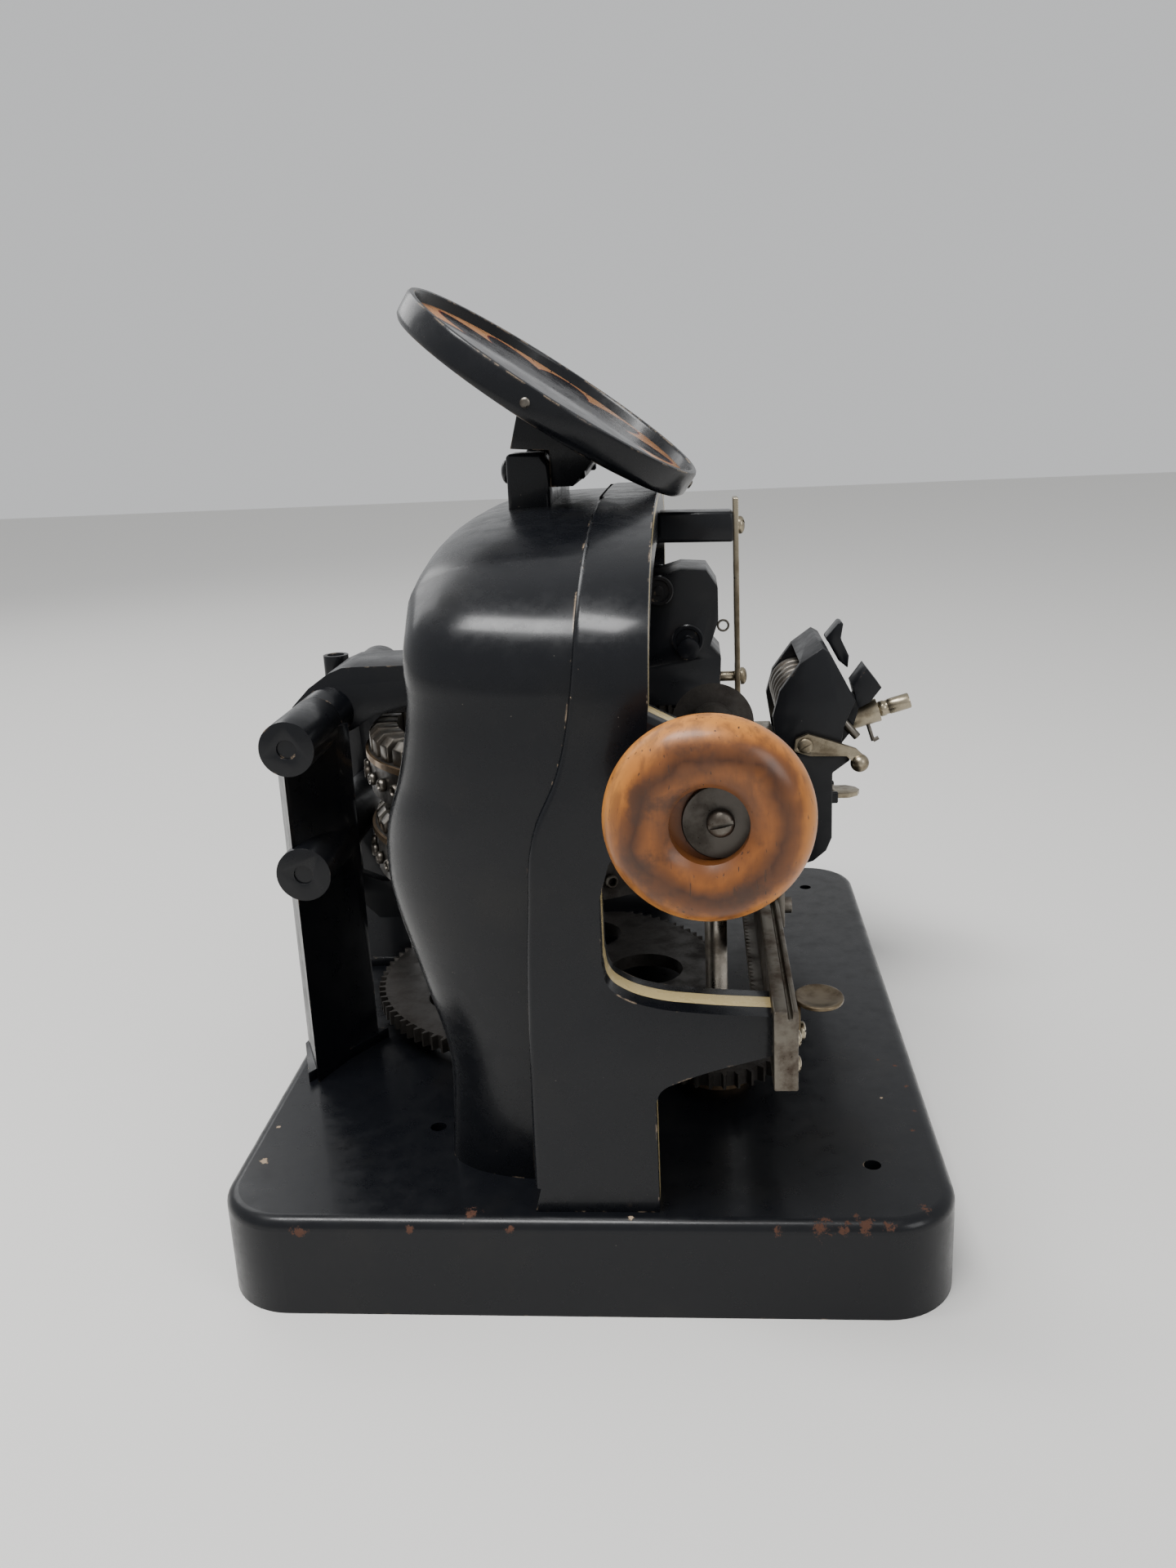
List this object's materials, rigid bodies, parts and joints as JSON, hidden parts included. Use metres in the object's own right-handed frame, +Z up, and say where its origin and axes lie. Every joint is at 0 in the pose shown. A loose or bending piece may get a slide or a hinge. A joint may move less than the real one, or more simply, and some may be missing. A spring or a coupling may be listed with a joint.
{
  "type": "hand plate embossing press",
  "caption": "Cast-iron desk press with an arched frame, stacked type wheels, press beam, wooden side knob, tilted index dial and sliding plate carriage.",
  "frame": {"origin": "middle of the base at the surface it stands on", "axes": "+X toward the operator, +Y to the operator's right (the knob is at -Y), +Z up"},
  "size_m": [0.3144, 0.437, 0.3999],
  "materials": {
    "japanned_iron": "gloss black enamel, worn",
    "knob_wood": "varnished, worn",
    "nickel": "dulled nickel plate",
    "bronze": "tarnished",
    "dark_steel": "oiled, darkened",
    "bare_iron": "dark, oiled",
    "dial_plate": "printed plate"
  },
  "bodies": {
    "frame": {"base_slab": "japanned_iron", "arch_frame": "japanned_iron", "rail_bar": "dark_steel", "frame_screws": "nickel", "feed_rack": "dark_steel", "margin_stops": "dark_steel", "rear_post_left": "japanned_iron", "rear_post_right": "japanned_iron", "beam_pin": "nickel", "lever_pin": "nickel", "spindle_bearing": "bronze", "knob_bracket": "japanned_iron", "counter_bearing": "bronze", "top_bracket": "japanned_iron", "guide_strip": "nickel", "dial_dish": "japanned_iron", "dial_insert": "dial_plate", "dial_rivets": "japanned_iron", "dial_lug": "japanned_iron", "dial_bracket": "japanned_iron", "dial_bolts": "japanned_iron"},
    "beam": {"press_beam": "japanned_iron", "press_hammer": "bare_iron", "head_stud": "nickel", "head_ring": "nickel", "beam_cup": "japanned_iron"},
    "lever": {"die_lever": "bare_iron", "die_anvil": "bare_iron"},
    "wheels": {"wheel_spindle": "nickel", "punch_wheel": "bare_iron", "die_wheel": "bare_iron", "punch_heads": "dark_steel", "die_heads": "dark_steel", "punch_strap": "bronze", "die_strap": "bronze", "punch_eyelets": "dark_steel", "die_eyelets": "dark_steel", "spindle_gear": "bare_iron"},
    "knob": {"wood_knob": "knob_wood", "knob_washer": "nickel", "knob_screw": "nickel", "knob_shaft": "nickel", "knob_mitre": "bare_iron"},
    "counter": {"counter_shaft": "nickel", "counter_mitre": "bare_iron", "counter_pinion": "bare_iron"},
    "carriage": {"carriage_saddle": "japanned_iron", "carriage_cheeks": "japanned_iron", "carriage_block": "japanned_iron", "tube_boss": "nickel", "carriage_rods": "nickel", "lever_screw": "nickel", "plate_table": "nickel"},
    "drum": {"ribbed_drum": "dark_steel"},
    "tube": {"tube_knob": "nickel"},
    "ball": {"ball_lever": "nickel"},
    "clamp": {"clamp_lever": "japanned_iron"},
    "tab": {"finger_tab": "nickel"},
    "paddle": {"release_paddle": "nickel"}
  },
  "joints": [
    {"name": "beam_press", "type": "hinge", "parent": "frame", "child": "beam", "pos_m": [-0.1284, 0, 0.206], "axis": [0, 1, 0], "range_deg": [0, 0.8], "stiffness_Nm_per_rad": 60, "springref_deg": -2.86},
    {"name": "die_lift", "type": "hinge", "parent": "frame", "child": "lever", "pos_m": [-0.1269, 0, 0.148], "axis": [0, -1, 0], "range_deg": [0, 0.85]},
    {"name": "wheel_turn", "type": "hinge", "parent": "frame", "child": "wheels", "pos_m": [-0.029, 0, 0.1], "axis": [0, 0, 1], "continuous": true},
    {"name": "counter_turn", "type": "hinge", "parent": "frame", "child": "counter", "pos_m": [0.0564, -0.082, 0.1], "axis": [0, 0, 1], "continuous": true},
    {"name": "knob_turn", "type": "hinge", "parent": "frame", "child": "knob", "pos_m": [0.0564, -0.15, 0.215], "axis": [0, 1, 0], "continuous": true},
    {"name": "carriage_slide", "type": "slide", "parent": "frame", "child": "carriage", "axis": [0, 1, 0], "range_m": [-0.11, 0.018]},
    {"name": "drum_turn", "type": "hinge", "parent": "carriage", "child": "drum", "pos_m": [0.108, 0.094, 0.184], "axis": [0, 1, 0], "continuous": true},
    {"name": "tube_turn", "type": "hinge", "parent": "carriage", "child": "tube", "pos_m": [0.1494, 0.075, 0.17742], "axis": [0.96, 0, 0.28], "continuous": true},
    {"name": "ball_lever_swing", "type": "hinge", "parent": "carriage", "child": "ball", "pos_m": [0.108, 0.058, 0.163], "axis": [0, 1, 0], "range_deg": [-25, 0]},
    {"name": "clamp_swing", "type": "hinge", "parent": "carriage", "child": "clamp", "pos_m": [0.1318, 0.095, 0.201], "axis": [0, 1, 0], "range_deg": [0, 35]},
    {"name": "tab_press", "type": "hinge", "parent": "carriage", "child": "tab", "pos_m": [0.1256, 0.084, 0.1283], "axis": [0, 1, 0], "range_deg": [0, 18], "stiffness_Nm_per_rad": 0.05, "springref_deg": -5.73},
    {"name": "paddle_swing", "type": "hinge", "parent": "frame", "child": "paddle", "pos_m": [0.086, -0.172, 0.111], "axis": [1, 0, 0], "range_deg": [-12, 12], "stiffness_Nm_per_rad": 0.05}
  ],
  "couplings": [
    {"joint": "die_lift", "follows": "beam_press", "ratio": 1},
    {"joint": "counter_turn", "follows": "wheel_turn", "ratio": -3},
    {"joint": "knob_turn", "follows": "wheel_turn", "ratio": 3}
  ]
}
